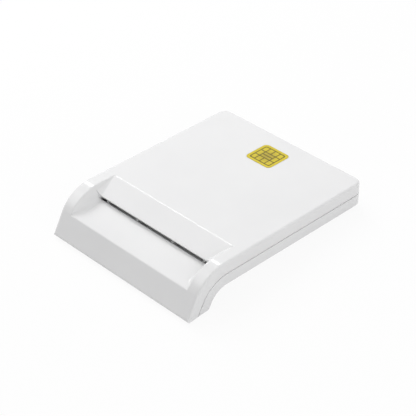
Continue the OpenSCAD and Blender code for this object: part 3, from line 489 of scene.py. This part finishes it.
def slab_point(x, y, z):
    """Point of the model, in metres, for a point of the slab's own frame, in millimetres."""
    back = y * math.cos(TILT) + z * math.sin(TILT) - SLAB_MIDDLE
    up = z * math.cos(TILT) - y * math.sin(TILT) + SLAB_LIFT
    return Vector((x, back, up)) * MM


def slab_ring(mesh, points):
    """Vertices at points of the slab's frame."""
    return [mesh.verts.new(slab_point(*point)) for point in points]


def bridge(mesh, near, far):
    """Band of faces between two closed rings with the same number of vertices."""
    band = []
    for i in range(len(near)):
        j = (i + 1) % len(near)
        band.append(mesh.faces.new((near[i], near[j], far[j], far[i])))
    return band


def add_tube(mesh, rings):
    """Closed solid through a row of rings. Gives the faces of its sides, band by band."""
    bands = [bridge(mesh, near, far) for near, far in zip(rings, rings[1:])]
    mesh.faces.new(rings[0][::-1])
    mesh.faces.new(rings[-1])
    return bands


def add_round(mesh, centre, profile):
    """Solid of revolution about an upright line of the slab's frame, from a closed profile."""
    rings = []
    for step in range(ROUND_STEPS):
        angle = 2 * math.pi * step / ROUND_STEPS
        rings.append(slab_ring(mesh, [(
            centre[0] + radius * math.cos(angle),
            centre[1] + radius * math.sin(angle),
            centre[2] + up,
        ) for radius, up in profile]))
    for near, far in zip(rings, rings[1:] + rings[:1]):
        bridge(mesh, near, far)


def add_piece(name, mesh, material):
    """Object from a bmesh, which rides on the root body and takes its finish from a slot."""
    bmesh.ops.recalc_face_normals(mesh, faces=mesh.faces)
    data = bpy.data.meshes.new(name)
    mesh.to_mesh(data)
    mesh.free()
    data.materials.append(material)
    piece = bpy.data.objects.new(name, data)
    bpy.context.scene.collection.objects.link(piece)
    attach(piece, "root")


def depth_below(y, z):
    """How far a point lies under the slab's outer surface, and the direction that leads out."""
    if y >= BEND_CENTRE:
        return -z, (0.0, 1.0)
    offset = (y - BEND_CENTRE, z + BEND_RADIUS)
    reach = math.hypot(*offset)
    return BEND_RADIUS - reach, (offset[0] / reach, offset[1] / reach)


def fillet_ring(place, floor_leg, wall_leg, flatness, side):
    """Closed section of a fillet in the corner between the recess's floor and one side wall."""
    depth, out = depth_below(*place)
    foot = RECESS_HALF - RECESS_LEAN * depth
    rise = min(wall_leg, WALL_SHARE * depth)

    def at(x, height):
        return slab_point(side * x, place[0] + out[0] * height, place[1] + out[1] * height)

    start = at(foot - floor_leg, 0.0)
    end = at(foot + RECESS_LEAN * rise, rise)
    corner = at(foot, 0.0).lerp((start + end) / 2, flatness)
    ring = []
    for step in range(FILLET_STEPS + 1):
        t = step / FILLET_STEPS
        ring.append(start * (1 - t) ** 2 + corner * (2 * t * (1 - t)) + end * t ** 2)
    ring.append(at(foot + RECESS_LEAN * rise + FILLET_ROOT, rise - FILLET_ROOT))
    ring.append(at(foot + FILLET_ROOT, -FILLET_ROOT))
    ring.append(at(foot - floor_leg, -FILLET_ROOT))
    return ring


def between(ends, t):
    """Value at share t of the way between two ends."""
    return ends[0] + (ends[1] - ends[0]) * t


def make_fillet(name, corner, floor_legs, wall_legs, flatness, side, material):
    """Concave blend along a recess corner, from its rear end to its front end."""
    mesh = bmesh.new()
    rings = []
    for station in range(FILLET_STATIONS + 1):
        t = station / FILLET_STATIONS
        place = [between(ends, t) for ends in zip(*corner)]
        legs = between(floor_legs, t), between(wall_legs, t)
        ring = fillet_ring(place, *legs, flatness, side)
        rings.append([mesh.verts.new(point) for point in ring])
    for band in add_tube(mesh, rings):
        for face in band[:FILLET_STEPS]:
            face.smooth = True
    for edge in mesh.edges:
        edge.smooth = all(face.smooth for face in edge.link_faces)
    add_piece(name, mesh, material)


def make_fillets(material):
    """Blends between the recess's side walls and its slope and floor."""
    for side_name, side in (("left", -1.0), ("right", 1.0)):
        for name, form in FILLETS.items():
            make_fillet(name + side_name, *form, side, material)


def end_cap_profile(height):
    """Side view of a metal end with its solder: distance outwards, height over the board."""
    top = height + CAP_SKIN
    points = [(-CAP_LENGTH, 0.0), (-CAP_LENGTH, top), (CAP_SKIN, top)]
    for step in range(SOLDER_STEPS + 1):
        t = step / SOLDER_STEPS
        rise = TRACE_HEIGHT + height * SOLDER_RISE * (1 - t) ** 2
        points.append((CAP_SKIN + SOLDER_REACH * t, rise))
    return points + [(CAP_SKIN + SOLDER_REACH, 0.0)]


def make_end_caps(name, places, size, across_x, material):
    """Metal ends and solder of chip parts whose length lies along x or along y."""
    width, length, height = size
    half = width / 2 + CAP_SKIN
    mesh = bmesh.new()
    for x, y in places:
        for end in (-1, 1):
            rings = []
            for side in (-half, half):
                outline = []
                for out, up in end_cap_profile(height):
                    along = end * (length / 2 + out)
                    spot = (x + along, y + side) if across_x else (x + side, y + along)
                    outline.append((*spot, BOARD_TOP + up))
                rings.append(slab_ring(mesh, outline))
            add_tube(mesh, rings)
    add_piece(name, mesh, material)


def make_regulator_legs(material):
    """Three bent legs of the small regulator, with their feet on the board."""
    mesh = bmesh.new()
    for shift, end in REGULATOR_LEGS:
        rings = []
        for half in (-LEG_HALF, LEG_HALF):
            rings.append(slab_ring(mesh, [(
                REGULATOR[0] + shift + half,
                REGULATOR[1] + end * (REGULATOR_HALF + out),
                BOARD_TOP + up,
            ) for out, up in LEG_PROFILE]))
        add_tube(mesh, rings)
    add_piece("regulator_legs", mesh, material)


def ribbon(path, width):
    """Left and right edges of a strip of even width along a bent path."""
    edges = []
    for i, (x, y) in enumerate(path):
        before = Vector(path[i]) - Vector(path[max(i - 1, 0)])
        after = Vector(path[min(i + 1, len(path) - 1)]) - Vector(path[i])
        before = (before if before.length else after).normalized()
        after = (after if after.length else before).normalized()
        middle = (before + after).normalized()
        reach = width / 2 / max(middle.dot(before), MITRE_LIMIT)
        shift_x, shift_y = middle.y * reach, middle.x * reach
        edges.append(((x - shift_x, y + shift_y), (x + shift_x, y - shift_y)))
    return edges


def trace_paths():
    """Routes of the traces in plan: from the chip's legs, the resistors and the crystal."""
    paths = []
    legs = CHIP_LEG_X[LANE_LEGS]
    for i, x in enumerate(legs):
        lane = LANE_X - LANE_PITCH * (len(legs) - 1 - i)
        turn = CHIP_FRONT - LANE_RUN
        paths.append([
            (x, CHIP_FRONT), (x, turn), (lane, turn - abs(x - lane)),
            (lane, LANE_END - i), (-FRAME_SIDE, FRAME_ENTRY - i),
        ])
    for x in CHIP_LEG_X[STUB_LEGS]:
        turn = CHIP_FRONT - STUB_RUN
        paths.append([
            (x, CHIP_FRONT), (x, turn),
            (x + STUB_STEP, turn - STUB_STEP), (x + STUB_STEP, STUB_END),
        ])
    legs = CHIP_LEG_X[SOCKET_LEGS]
    for i, x in enumerate(legs):
        turn = CHIP_REAR + SOCKET_PITCH * (len(legs) - 1 - i)
        paths.append([
            (x, CHIP_REAR - SOCKET_START), (x, turn - SOCKET_BEND), (x + SOCKET_BEND, turn),
            (SOCKET_END - SOCKET_END_STEP * i, turn),
        ])
    for x, y in RESISTORS:
        bend = x - RESISTOR_BEND
        paths.append([
            (x - RESISTOR_START, y), (bend, y), (bend - BEND_SIZE, y - BEND_SIZE),
            (FRAME_SIDE, y - BEND_SIZE),
        ])
        paths.append([
            (x + RESISTOR_START, y), (VIA_LANE - BEND_SIZE, y), (VIA_LANE, y + BEND_SIZE),
            (VIA_LANE, y + VIA_RUN),
        ])
    paths.extend(CRYSTAL_TRACES)
    return paths


def make_traces(material):
    """Thin raised traces under the board's green coat."""
    low, high = BOARD_TOP, BOARD_TOP + TRACE_HEIGHT
    mesh = bmesh.new()
    for path in trace_paths():
        rings = []
        for left, right in ribbon(path, TRACE_WIDTH):
            section = (*left, low), (*left, high), (*right, high), (*right, low)
            rings.append(slab_ring(mesh, section))
        add_tube(mesh, rings)
    add_piece("board_traces", mesh, material)


def via_places():
    """Places of the vias in plan."""
    places = [(VIA_LANE, y + RESISTOR_VIA) for _, y in RESISTORS]
    for i in range(VIA_COUNT):
        places.append((CHIP_LEG_X[1 + 2 * i], CHIP_VIA_Y - CHIP_VIA_STAGGER * (i % 2)))
        places.append((LEFT_VIAS[0], LEFT_VIAS[1] + LEFT_VIA_PITCH * i))
        places.append((RIGHT_VIAS[0] + RIGHT_VIA_PITCH * i, RIGHT_VIAS[1]))
    return places


def make_vias(material):
    """Tinned rings where traces change sides of the board."""
    mesh = bmesh.new()
    for place in via_places():
        add_round(mesh, (*place, BOARD_TOP), VIA_PROFILE)
    add_piece("board_vias", mesh, material)


def make_chip_mark(material):
    """Moulded round mark beside the chip's first leg."""
    mesh = bmesh.new()
    add_round(mesh, CHIP_MARK, CHIP_MARK_PROFILE)
    add_piece("chip_mark", mesh, material)


def make_board_details(materials):
    """Small pieces on the circuit board that are too fine for the solids."""
    tin = materials["tinned"]
    make_end_caps("capacitor_ends", CAPACITORS, CAPACITOR_SIZE, False, tin)
    make_end_caps("resistor_ends", RESISTORS, RESISTOR_SIZE, True, tin)
    make_regulator_legs(tin)
    make_traces(materials["trace_green"])
    make_vias(tin)
    make_chip_mark(materials["chip_black"])


make_camera()
make_world()
make_floor()
for lamp_name, settings in LAMPS.items():
    make_lamp(lamp_name, *settings)
bpy.context.scene.view_settings.view_transform = "Standard"
finishes = {name: finish_material(name, **finish) for name, finish in FINISHES.items()}
dress_nodes(finishes)
make_fillets(finishes["white_fillet"])
make_board_details(finishes)
